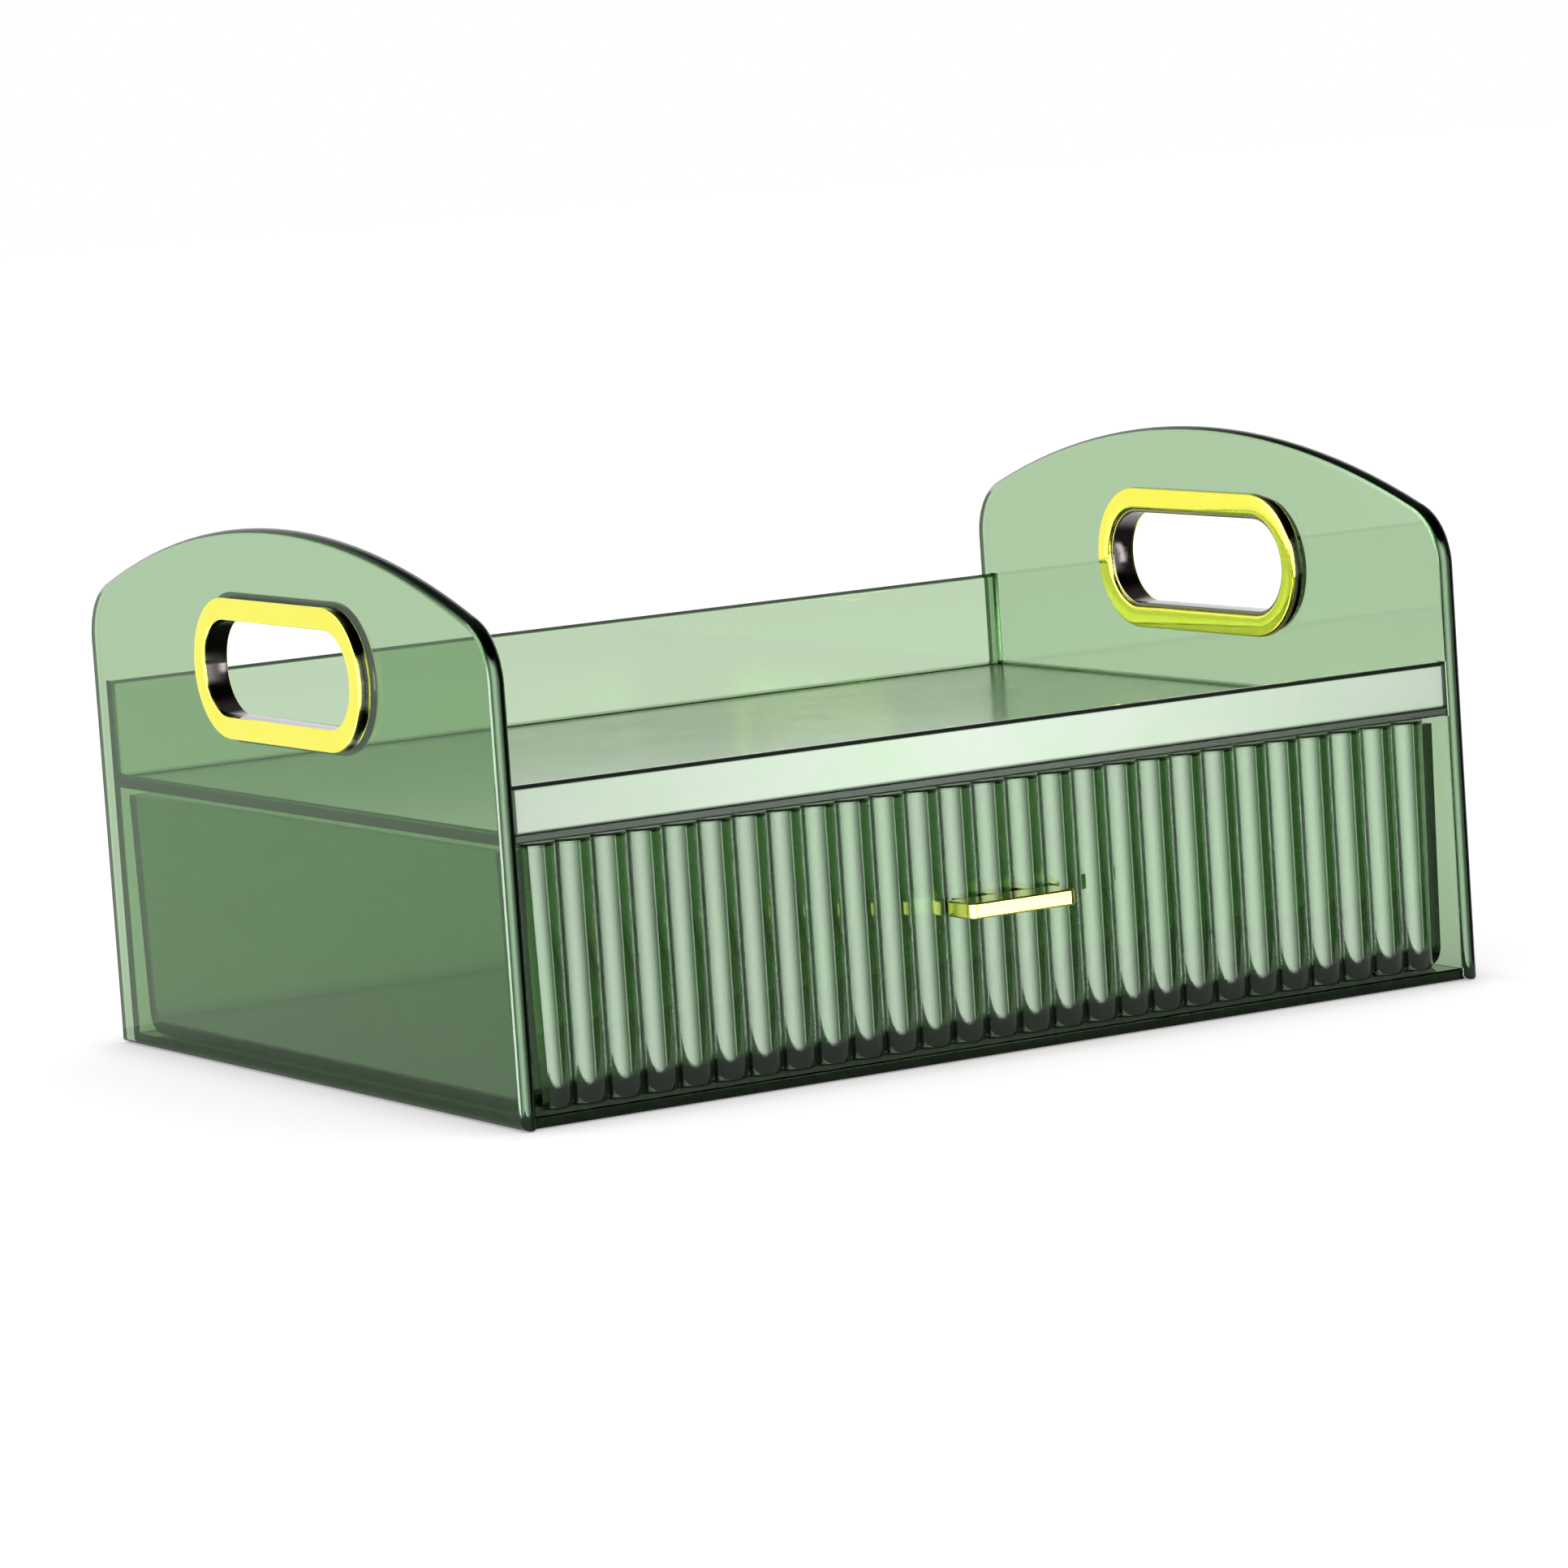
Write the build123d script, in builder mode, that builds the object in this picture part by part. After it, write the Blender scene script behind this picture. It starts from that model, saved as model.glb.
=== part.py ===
"""Makeup storage box: an open tray over one fluted drawer, between two arched end panels with hand holes."""

import os

from build123d import *

os.makedirs("parts", exist_ok=True)

# Lengths are in millimetres. X runs along the front, Y from the front to the back and Z up from the table.
# The origin is on the table, midway between the end panels and midway along their depth.

# End panels
case_width = 306.0
panel_depth = 244.0
panel_height = 153.0
panel_thickness = 4.6
arch_rise = 24.0
shoulder_radius = 18.0
panel_edge_radius = 2.1

# Plates that span the end panels, their ends bonded into grooves
base_thickness = 3.2
floor_level = 77.3
floor_thickness = 2.6
rail_height = 12.6
rail_thickness = 3.0
back_level = 105.2
back_thickness = 3.0
front_setback = 2.0
back_setback = 6.5
plate_edge_radius = 0.6
rim_edge_radius = 1.3
groove_depth = 1.0
bond_gap = 0.1

# Gilt trim of the hand holes: an outer bezel with a sleeve, and a ring pushed over the sleeve inside
hand_hole_level_share = 0.478
hand_hole_length = 88.0
hand_hole_height = 27.0
sleeve_wall = 1.0
sleeve_gap = 0.15
bezel_flange = 5.2
bezel_thickness = 1.7
bezel_edge_radius = 0.4
ring_flange = 6.4
ring_thickness = 1.7
ring_edge_radius = 0.8
sleeve_recess = 0.8

# Drawer front and tub
drawer_setback = 4.7
drawer_side_gap = 1.2
drawer_draft = 1.4
drawer_lift = 0.3
drawer_top_gap = 0.8
front_thickness = 2.5
rib_count = 27
rib_depth = 3.0
tub_wall = 2.0
tub_side = 2.9
tub_floor = 3.4
tub_corner_radius = 6.0
tub_drop = 1.5
tub_back_gap = 3.0

# Pull handle and its screws
handle_level = 41.0
handle_width = 34.0
handle_height = 4.4
handle_reach = 11.5
handle_corner_radius = 2.0
handle_edge_radius = 0.6
screw_spacing = 20.0
screw_radius = 1.25
screw_bite = 7.0
screw_tip_room = 1.0
screw_gap = 0.1
screw_head_radius = 2.3
screw_head_height = 1.7
screw_head_round = 0.5
recess_length = 2.6
recess_width = 0.6
recess_depth = 0.9

# How far a cut runs past the face that it leaves by
cut_overrun = 1.0

# Places that follow from the sizes above
panel_inner = case_width / 2 - panel_thickness
panel_front = -panel_depth / 2
panel_shoulder = panel_height - arch_rise
hand_hole_level = floor_level + hand_hole_level_share * (panel_height - floor_level)
plate_half = panel_inner + groove_depth - bond_gap
plate_front = panel_front + front_setback
back_rear = panel_depth / 2 - back_setback
back_front = back_rear - back_thickness
floor_under = floor_level - floor_thickness

rib_crest = panel_front + drawer_setback
rib_valley = rib_crest + rib_depth
front_rear = rib_valley + front_thickness
tub_half = panel_inner - drawer_side_gap
front_half = tub_half - tub_side - bond_gap
rib_pitch = 2 * front_half / rib_count
drawer_bottom = base_thickness + drawer_lift
drawer_top = floor_under - drawer_top_gap
tub_front = front_rear + bond_gap
tub_rear = back_front - tub_back_gap
tub_top = drawer_top - tub_drop
tub_inside = drawer_bottom + tub_floor

handle_rear = rib_crest - bond_gap
screw_seat = tub_front + tub_wall + bond_gap
screw_tip = handle_rear - screw_bite
screw_spots = [(-screw_spacing / 2, handle_level), (screw_spacing / 2, handle_level)]

# Each plate's end profile: lowest and highest Y, then lowest and highest Z
plate_profiles = {
    "base_plate": (plate_front, back_rear, 0, base_thickness),
    "back_wall": (back_front, back_rear, base_thickness + bond_gap, back_level),
    "tray_floor": (plate_front, back_front - bond_gap, floor_under, floor_level),
    "front_rail": (plate_front, plate_front + rail_thickness, floor_level + bond_gap, floor_level + rail_height),
}
rim_radii = {"back_wall": rim_edge_radius, "front_rail": rim_edge_radius}


def write(piece, name):
    """Label a finished piece and write its file."""
    piece.part.label = name
    export_step(piece.part, f"parts/{name}.step")


def inward_face(piece, side):
    """The face of a piece that is nearest the middle of the box."""
    return piece.faces().sort_by(Axis.X)[0 if side > 0 else -1]


def outward_face(piece, side):
    """The face of a piece that is furthest from the middle of the box."""
    return piece.faces().sort_by(Axis.X)[-1 if side > 0 else 0]


def sleeve_slot(margin, mode=Mode.ADD):
    """The outline of a hand hole's sleeve, grown all round by a margin."""
    growth = 2 * (sleeve_wall + margin)
    with Locations((0, hand_hole_level)):
        SlotOverall(hand_hole_length + growth, hand_hole_height + growth, mode=mode)


def profile_rectangle(profile, margin):
    """A plate's end profile, grown all round by a margin."""
    y_low, y_high, z_low, z_high = profile
    with Locations(((y_low + y_high) / 2, (z_low + z_high) / 2)):
        Rectangle(y_high - y_low + 2 * margin, z_high - z_low + 2 * margin)


def end_panel(name, side):
    """An arched end panel with a hand hole, and grooves in its inner face for the plates' ends."""
    with BuildPart() as panel:
        with BuildSketch(Plane.YZ.offset(side * case_width / 2)) as outline:
            with BuildLine():
                Polyline(
                    (-panel_front, panel_shoulder),
                    (-panel_front, 0),
                    (panel_front, 0),
                    (panel_front, panel_shoulder),
                )
                ThreePointArc((panel_front, panel_shoulder), (0, panel_height), (-panel_front, panel_shoulder))
            make_face()
            fillet(outline.vertices().group_by(Axis.Y)[-1], shoulder_radius)
        extrude(amount=-side * panel_thickness)
        fillet(inward_face(panel, side).edges() + outward_face(panel, side).edges(), panel_edge_radius)
        with BuildSketch(Plane.YZ.offset(side * panel_inner)):
            sleeve_slot(sleeve_gap)
        extrude(amount=side * (panel_thickness + cut_overrun), mode=Mode.SUBTRACT)
        with BuildSketch(Plane.YZ.offset(side * panel_inner)):
            for profile in plate_profiles.values():
                profile_rectangle(profile, bond_gap)
        extrude(amount=side * groove_depth, mode=Mode.SUBTRACT)
    write(panel, name)


def handle_bezel(name, side):
    """The outer half of a hand hole's trim: a flange on the panel's outer face and a sleeve through the hole."""
    flange_seat = side * (case_width / 2 + bond_gap)
    sleeve_length = bond_gap + panel_thickness + bond_gap + ring_thickness - sleeve_recess
    with BuildPart() as bezel:
        with BuildSketch(Plane.YZ.offset(flange_seat)):
            sleeve_slot(bezel_flange)
            sleeve_slot(-sleeve_wall, mode=Mode.SUBTRACT)
        extrude(amount=side * bezel_thickness)
        fillet(outward_face(bezel, side).edges(), bezel_edge_radius)
        with BuildSketch(Plane.YZ.offset(flange_seat)):
            sleeve_slot(0)
            sleeve_slot(-sleeve_wall, mode=Mode.SUBTRACT)
        extrude(amount=-side * sleeve_length)
    write(bezel, name)


def handle_ring(name, side):
    """The inner half of a hand hole's trim: a ring pushed over the sleeve, past its end, with a rounded face."""
    with BuildPart() as ring:
        with BuildSketch(Plane.YZ.offset(side * (panel_inner - bond_gap))):
            sleeve_slot(ring_flange)
            sleeve_slot(bond_gap, mode=Mode.SUBTRACT)
        extrude(amount=-side * ring_thickness)
        fillet(inward_face(ring, side).edges(), ring_edge_radius)
    write(ring, name)


def cross_plate(name):
    """A flat plate across the box, with its long edges rounded, and more so at an open rim."""
    with BuildPart() as plate:
        with BuildSketch(Plane.YZ.offset(-plate_half)):
            profile_rectangle(plate_profiles[name], 0)
        extrude(amount=2 * plate_half)
        fillet(plate.edges().filter_by(Axis.X).group_by(Axis.Z)[0], plate_edge_radius)
        fillet(plate.edges().filter_by(Axis.X).group_by(Axis.Z)[-1], rim_radii.get(name, plate_edge_radius))
    write(plate, name)


def drawer_outline(half_width, bottom, top):
    """The drawer's outline from the front, leaning in towards the bottom at both ends."""
    half_bottom = half_width - drawer_draft
    Polygon(
        (-half_bottom, bottom),
        (half_bottom, bottom),
        (half_width, top),
        (-half_width, top),
        align=None,
    )


def screw_circles(radius):
    """One circle at the place of each of the handle's screws."""
    with Locations(*screw_spots):
        Circle(radius)


for side_name, side_sign in (("left", -1), ("right", 1)):
    end_panel(f"{side_name}_end_panel", side_sign)
    handle_bezel(f"{side_name}_handle_bezel", side_sign)
    handle_ring(f"{side_name}_handle_ring", side_sign)

for plate_name in plate_profiles:
    cross_plate(plate_name)

# Drawer front: vertical convex ribs from end to end, flat behind
with BuildPart() as drawer_front:
    with BuildSketch(Plane.XY.offset(drawer_bottom)):
        with BuildLine():
            for rib in range(rib_count):
                rib_start = rib * rib_pitch - front_half
                rib_middle = rib_start + rib_pitch / 2
                ThreePointArc((rib_start, rib_valley), (rib_middle, rib_crest), (rib_start + rib_pitch, rib_valley))
            Polyline(
                (front_half, rib_valley),
                (front_half, front_rear),
                (-front_half, front_rear),
                (-front_half, rib_valley),
            )
        make_face()
    extrude(amount=drawer_top - drawer_bottom)
    with BuildSketch(Plane.XZ.offset(-front_rear)):
        drawer_outline(front_half, drawer_bottom, drawer_top)
    extrude(amount=front_rear - rib_crest + cut_overrun, mode=Mode.INTERSECT)
    with BuildSketch(Plane.XZ.offset(-front_rear)):
        screw_circles(screw_radius + screw_gap)
    extrude(amount=front_rear - rib_crest + cut_overrun, mode=Mode.SUBTRACT)
write(drawer_front, "drawer_front")

# Drawer tub: a moulding open at the top, whose sides reach forward past the ends of the fluted front
with BuildPart() as drawer_tub:
    with BuildSketch(Plane.XZ.offset(-rib_valley)):
        drawer_outline(tub_half, drawer_bottom, tub_top)
    extrude(amount=rib_valley - tub_rear)
    tub_underside = drawer_tub.faces().sort_by(Axis.Z)[0]
    fillet(tub_underside.edges().filter_by(Axis.X), tub_corner_radius)
    with BuildSketch(Plane.XZ.offset(-tub_front)):
        drawer_outline(front_half + bond_gap, drawer_bottom, drawer_top)
    extrude(amount=tub_front - rib_valley, mode=Mode.SUBTRACT)
    with BuildSketch(Plane.XZ.offset(-tub_front - tub_wall)):
        drawer_outline(tub_half - tub_side, tub_inside, drawer_top)
    extrude(amount=tub_front - tub_rear + 2 * tub_wall, mode=Mode.SUBTRACT)
    tub_bed = drawer_tub.faces().filter_by(Axis.Z).sort_by(Axis.Z)[1]
    fillet(tub_bed.edges().filter_by(Axis.X), tub_corner_radius - tub_wall)
    with BuildSketch(Plane.XZ.offset(-screw_seat)):
        screw_circles(screw_radius + screw_gap)
    extrude(amount=screw_seat - tub_front + cut_overrun, mode=Mode.SUBTRACT)
write(drawer_tub, "drawer_tub")

# Pull handle: a plain bar with rounded front corners and blind holes in its back for the screws
with BuildPart() as drawer_handle:
    with BuildSketch(Plane.XY.offset(handle_level - handle_height / 2)) as handle_plan:
        with Locations((0, handle_rear - handle_reach / 2)):
            Rectangle(handle_width, handle_reach)
        fillet(handle_plan.vertices().group_by(Axis.Y)[0], handle_corner_radius)
    extrude(amount=handle_height)
    handle_back = drawer_handle.faces().sort_by(Axis.Y)[-1]
    upright_edges = drawer_handle.edges().filter_by(Axis.Z)
    fillet(drawer_handle.edges() - handle_back.edges() - upright_edges, handle_edge_radius)
    with BuildSketch(Plane.XZ.offset(-handle_rear)):
        screw_circles(screw_radius + screw_gap)
    extrude(amount=screw_bite + screw_tip_room, mode=Mode.SUBTRACT)
write(drawer_handle, "drawer_handle")

# Handle screws: round heads with cross recesses inside the tub, shanks through its wall and the front
with BuildPart() as drawer_handle_screws:
    with BuildSketch(Plane.XZ.offset(-screw_seat)):
        screw_circles(screw_head_radius)
    extrude(amount=-screw_head_height)
    fillet(drawer_handle_screws.edges().group_by(Axis.Y)[-1], screw_head_round)
    with BuildSketch(Plane.XZ.offset(-screw_seat)):
        screw_circles(screw_radius)
    extrude(amount=screw_seat - screw_tip)
    with BuildSketch(Plane.XZ.offset(-screw_seat - screw_head_height)):
        with Locations(*screw_spots):
            Rectangle(recess_length, recess_width)
            Rectangle(recess_width, recess_length)
    extrude(amount=recess_depth, mode=Mode.SUBTRACT)
write(drawer_handle_screws, "drawer_handle_screws")
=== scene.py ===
"""Looks of a makeup storage box: clear green plastic, gilt hand-hole trim, a fluted drawer front and a white stage."""

import math

import bmesh
import bpy
from bpy.props import FloatProperty, FloatVectorProperty, IntProperty, PointerProperty
from mathutils import Euler, Matrix, Vector


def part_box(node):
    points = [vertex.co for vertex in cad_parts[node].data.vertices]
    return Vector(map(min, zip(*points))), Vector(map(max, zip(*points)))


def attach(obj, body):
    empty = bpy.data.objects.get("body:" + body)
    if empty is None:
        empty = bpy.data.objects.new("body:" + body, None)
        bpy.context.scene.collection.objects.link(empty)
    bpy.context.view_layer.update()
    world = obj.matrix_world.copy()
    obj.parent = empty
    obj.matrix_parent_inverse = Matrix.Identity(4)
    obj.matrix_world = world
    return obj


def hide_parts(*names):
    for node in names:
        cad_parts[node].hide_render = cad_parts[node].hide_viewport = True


bl_info = {
    "name": "Makeup Storage Box",
    "version": (1, 0, 0),
    "blender": (4, 5, 0),
    "location": "3D View > Sidebar > Storage Box",
    "description": "Builds the looks of a clear storage box with a fluted drawer around its packed frame",
    "category": "Object",
}

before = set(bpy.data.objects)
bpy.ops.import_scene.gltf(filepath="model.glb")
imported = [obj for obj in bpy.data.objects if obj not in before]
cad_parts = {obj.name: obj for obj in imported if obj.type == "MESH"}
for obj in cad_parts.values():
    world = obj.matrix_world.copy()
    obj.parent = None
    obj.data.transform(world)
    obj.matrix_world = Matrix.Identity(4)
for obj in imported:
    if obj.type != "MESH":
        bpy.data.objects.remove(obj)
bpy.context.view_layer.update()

SIDES = {"left": -1, "right": 1}

front_low, front_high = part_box("drawer_front")
bezel_low, bezel_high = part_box("right_handle_bezel")
ring_low, ring_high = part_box("right_handle_ring")
panel_low, panel_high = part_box("right_end_panel")
screws_low, screws_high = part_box("drawer_handle_screws")
wall_low, wall_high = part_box("back_wall")
tray_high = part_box("tray_floor")[1]
rail_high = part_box("front_rail")[1]
tub_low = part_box("drawer_tub")[0]

# Faces round a rounded edge, faces along a bead of cement, and the angles above which an edge stays sharp
TRIM_EDGE_STEPS = 5
FRONT_EDGE_STEPS = 4
BOND_EDGE_STEPS = 5
BOND_STEPS = 40
CREASE = math.radians(35)
TRIM_CREASE = math.radians(30)

# Shares of a screw's head radius, head height, shank radius or shank length
RECESS_LENGTH_SHARE = 1.13
RECESS_WIDTH_SHARE = 0.26
RECESS_DEPTH_SHARE = 0.53
HEAD_TAPER_SHARE = 0.16
HEAD_DOME_SHARE = 0.22
CORE_SHARE = 0.84
RIDGE_SHARE = 0.16
THREAD_SHARE = 0.92
THREAD_START_SHARE = 0.97

# Shares of a bead's leg: how far its hollow face stands off the corner, and how round it is
HOLLOW_SHARE = 0.34
HOLLOW_ROUND_SHARE = 0.3

# Painted shade, and the coat along the panels' front edges: the nearest and farthest distance, in metres, over which
# each one fades from the edge it follows
EDGE_GLEAM = (0.0017, 0.0025)
EDGE_SHADE = (0.0015, 0.0025)
INNER_FACE = (0.0, 0.0003)
PANEL_FACE = (0.0002, 0.0006)
WALL_TOP = (0.0007, 0.0012)
WALL_ENDS = (0.0001, 0.0004)
RAIL_TOP = (0.0009, 0.0014)
RAIL_ENDS = (0.0007, 0.0012)
FRONT_FOOT = (0.0055, 0.0062)
FRONT_TOP = (0.001, 0.0014)
GROOVE_FLOOR = (0.0005, 0.001)
TUB_ENDS = (0.002, 0.003)
TRIM_FACE = (0.0005, 0.0009)
HALF_SOFTNESS = 0.0002
GROOVE_SHARES = (0.43, 0.47)
EDGE_GLEAM_SHARE = 0.75
WALL_ENDS_SHARE = 0.7

# Bond cement is this much deeper in tint than the plates
CEMENT_DEPTH = 10.0

# Floor: distances from the box's outline over which it fades, and the glow left to it under the box. The glow's fade
# near and under the box is a painted shadow, added to the floor's real shadow.
FLOOR_SEEN = (-0.03, 0.02)
FLOOR_THROUGH = (-0.025, 0.03)
FLOOR_OPEN = (0.022, 0.028)
UNDER_BOX = 0.1

# Surround: height angles of the ceiling's edge, depths of the backdrop's edge, and the light past each
CEILING_EDGE = (25.0, 45.0)
CEILING_LIGHT = 0.12
BACKDROP_EDGE = (-0.3, 0.3)
FRONT_LIGHT = 0.06

# Soft boxes: strength, then the lowest, highest and softness of their turn and of their height, in degrees
SOFT_BOXES = {
    "front": (6.8, (-68.0, 6.0, 34.0), (-40.0, 30.0, 8.0)),
    "strip": (4.5, (29.5, 34.0, 3.5), (-30.0, 10.0, 6.0)),
    "side": (8.0, (-138.0, -97.0, 8.0), (-60.0, 30.0, 8.0)),
}

BOUNCES = {"max_bounces": 32, "transmission_bounces": 32, "glossy_bounces": 12}
SENSOR_WIDTH = 36
CLIP_END = 50


def length(name, description, default):
    """A property for a size in metres."""
    return FloatProperty(name=name, description=description, default=default, unit="LENGTH", precision=5)


def colour(name, description, default):
    """A property for a colour."""
    return FloatVectorProperty(name=name, description=description, default=default, subtype="COLOR", min=0, max=1)


def share(name, description, default):
    """A property for a value between 0 and 1."""
    return FloatProperty(name=name, description=description, default=default, min=0, max=1, subtype="FACTOR")


def amount(name, description, default):
    """A property for a number that isn't negative."""
    return FloatProperty(name=name, description=description, default=default, min=0)


def angle(name, description, degrees):
    """A property for an angle."""
    return FloatProperty(name=name, description=description, default=math.radians(degrees), subtype="ANGLE")


def number(name, description, default, least):
    """A property for a whole number."""
    return IntProperty(name=name, description=description, default=default, min=least)


class Wire:
    """A node socket that takes part in Python expressions. Each operation adds a Math node to its tree."""

    def __init__(self, tree, socket=None):
        self.tree = tree
        self.socket = socket

    def node(self, kind, settings=None, sockets=None, output=0):
        """Add a node: its settings first, then the values or links of its sockets. Returns one of its outputs."""
        made = self.tree.nodes.new(kind)
        for key, value in (settings or {}).items():
            if key == "items":
                while len(made.index_switch_items) < value:
                    made.index_switch_items.new()
            else:
                setattr(made, key, value)
        for key, value in (sockets or {}).items():
            target = made.inputs[key]
            for one in value if isinstance(value, list) else [value]:
                if isinstance(one, Wire):
                    self.tree.links.new(one.socket, target)
                else:
                    target.default_value = one
        return Wire(self.tree, made.outputs[output])

    def maths(self, operation, *terms):
        """A Math node of the given operation on these terms."""
        return self.node("ShaderNodeMath", {"operation": operation}, dict(enumerate(terms)))

    def most(self, other):
        """The larger of two values."""
        return self.maths("MAXIMUM", self, other)

    def __abs__(self):
        return self.maths("ABSOLUTE", self)

    def __add__(self, other):
        return self.maths("ADD", self, other)

    def __radd__(self, other):
        return self.maths("ADD", other, self)

    def __sub__(self, other):
        return self.maths("SUBTRACT", self, other)

    def __rsub__(self, other):
        return self.maths("SUBTRACT", other, self)

    def __mul__(self, other):
        return self.maths("MULTIPLY", self, other)

    def __rmul__(self, other):
        return self.maths("MULTIPLY", other, self)

    def __truediv__(self, other):
        return self.maths("DIVIDE", self, other)

    def __rtruediv__(self, other):
        return self.maths("DIVIDE", other, self)

    def __neg__(self):
        return self.maths("MULTIPLY", self, -1)


def point(wire, x=0, y=0, z=0):
    """Three numbers as one vector."""
    return wire.node("ShaderNodeCombineXYZ", None, {"X": x, "Y": y, "Z": z})


def parts_of(wire, vector):
    """The three numbers of a vector."""
    split = wire.node("ShaderNodeSeparateXYZ", None, {0: vector})
    return [Wire(wire.tree, out) for out in split.socket.node.outputs]


def ramp(wire, value, low, high, start=0.0, end=1.0):
    """From start, below one value, to end, above another, with a smooth change between them."""
    sockets = {"Value": value, 1: low, 2: high, 3: start, 4: end}
    return wire.node("ShaderNodeMapRange", {"interpolation_type": "SMOOTHSTEP"}, sockets)


def off_low(wire, value, edge, band):
    """0 at a low edge and 1 further in, with the rise in a band of distances from the edge."""
    return ramp(wire, value, edge + band[0], edge + band[1])


def near_high(wire, value, edge, band):
    """1 at a high edge and 0 further in, with the fall in a band of distances from the edge."""
    return ramp(wire, value, edge - band[1], edge - band[0])


def noise(wire, place, scale, detail, stretch=None):
    """A noise texture, over places that may be stretched along each axis first."""
    if stretch:
        place = wire.node("ShaderNodeMapping", None, {"Vector": place, "Scale": stretch})
    return wire.node("ShaderNodeTexNoise", None, {"Vector": place, "Scale": scale, "Detail": detail})


def peaks(wire, texture, low, high):
    """Only the peaks of a texture, from one level up to another."""
    return wire.node("ShaderNodeMapRange", None, {"Value": texture, 1: low, 2: high})


def relief(wire, texture, strength, height):
    """A normal that a texture's bumps tilt."""
    return wire.node("ShaderNodeBump", None, {"Strength": strength, "Distance": height, "Height": texture})


def blend(wire, factor, first, second):
    """One colour that goes to another as the factor goes to 1."""
    return wire.node("ShaderNodeMix", {"data_type": "RGBA"}, {0: factor, 6: first, 7: second}, output=2)


def rgba(tint):
    """A colour with its fourth number."""
    return (*tint, 1)


def ray_kinds(wire):
    """Whether a ray comes from the camera, through a clear piece, or from a face that mirrors."""
    kinds = wire.node("ShaderNodeLightPath").socket.node.outputs
    through = Wire(wire.tree, kinds["Is Transmission Ray"])
    mirrored = Wire(wire.tree, kinds["Is Glossy Ray"]) * (1 - through)
    return Wire(wire.tree, kinds["Is Camera Ray"]), through, mirrored


# Materials


def new_material(name):
    """An empty node material, its Wire and its Principled shader node."""
    material = bpy.data.materials.new(name)
    material.use_nodes = True
    tree = material.node_tree
    return material, Wire(tree), tree.nodes["Principled BSDF"]


def feed(wire, shader, **sockets):
    """Set or link the Principled shader's sockets, named with underscores for spaces."""
    for key, value in sockets.items():
        target = shader.inputs[key.replace("_", " ")]
        if isinstance(value, Wire):
            wire.tree.links.new(value.socket, target)
        else:
            target.default_value = value


def clear_plastic(
    name, look, depth_share=1.0, tint=None, milk=0.0, polish=None, shade=None, blur=None, gleam=None
):
    """Clear tinted plastic: it darkens with thickness, and has a faint ripple, haze and hairline scratches.

    polish and shade tell how much coat and how much painted shade there is at a place on the piece: the painted shade
    is a dark colour blended in along grooves and rounded edges. blur is a roughness and gleam a tint of reflections,
    in place of the usual ones.
    """
    material, wire, shader = new_material(name)
    place = wire.node("ShaderNodeTexCoord", output="Object")
    at = parts_of(wire, place)
    ripple = noise(wire, place, scale=18.0, detail=1.0)
    haze = noise(wire, place, scale=55.0, detail=4.0)
    streak = noise(wire, place, scale=1.0, detail=2.0, stretch=(900.0, 60.0, 35.0))
    scratch = 0.02 * peaks(wire, streak, low=0.70, high=0.78)
    patchy = 0.4 + 1.2 * haze
    tone = blend(wire, haze, rgba(tint or look.surface_tint), (1, 1, 1, 1))
    # Painted shade: blend towards a dark colour where the mask says, standing in for the dark refraction in grooves
    # and at rounded edges
    if shade:
        tone = blend(wire, shade(wire, *at), tone, rgba(look.shade))
    feed(
        wire,
        shader,
        Base_Color=tone,
        Roughness=(blur or look.haze) * patchy + scratch,
        IOR=look.refraction,
        Specular_Tint=rgba(gleam or look.gleam),
        Transmission_Weight=1.0 - milk,
        Coat_Weight=look.polish * polish(wire, *at) if polish else 0.0,
        Coat_Roughness=blur or look.coat_haze,
        Normal=relief(wire, ripple + scratch, strength=look.ripple, height=0.0004),
    )
    absorption = {"Color": rgba(look.body_tint), "Density": look.density * depth_share}
    body = wire.node("ShaderNodeVolumeAbsorption", None, absorption)
    wire.tree.links.new(body.socket, wire.tree.nodes["Material Output"].inputs["Volume"])
    return material


def bright_all_over(wire, x, y, z):
    """Polish on the whole piece."""
    return 1.0


def left_inner_half(wire, x):
    """Half of the left panel's thickness, from its middle to its inner face."""
    middle = -(panel_low.x + panel_high.x) / 2
    past_middle = ramp(wire, x, middle - HALF_SOFTNESS, middle + HALF_SOFTNESS)
    return past_middle * (1 - near_high(wire, x, -panel_low.x, INNER_FACE))


def bright_front_edge(wire, x, y, z):
    """Polish on the front edge of an end panel, apart from the left one's inner half."""
    front = 1 - off_low(wire, y, panel_low.y, EDGE_GLEAM)
    return EDGE_GLEAM_SHARE * front * (1 - left_inner_half(wire, x))


def panel_rim_painted_shade(wire, x, y, z):
    """Painted shade on an end panel's rim between its two faces, and down the inner half of the left one's front edge.
    """
    inner = off_low(wire, abs(x), panel_low.x, PANEL_FACE)
    outer = near_high(wire, abs(x), panel_high.x, PANEL_FACE)
    behind = off_low(wire, y, panel_low.y, EDGE_SHADE)
    return behind * inner * (1 - outer) + (1 - behind) * left_inner_half(wire, x)


def wall_rim_painted_shade(wire, x, y, z):
    """Painted shade along the back wall's rounded top, and lighter painted shade at its bonded ends."""
    top = near_high(wire, z, wall_high.z, WALL_TOP)
    return top.most(WALL_ENDS_SHARE * near_high(wire, abs(x), wall_high.x, WALL_ENDS))


def rail_painted_shade(wire, x, y, z):
    """Painted shade along the rail's rounded top and at its bonded ends."""
    top = near_high(wire, z, rail_high.z, RAIL_TOP)
    return top.most(near_high(wire, abs(x), panel_low.x, RAIL_ENDS))


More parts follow.
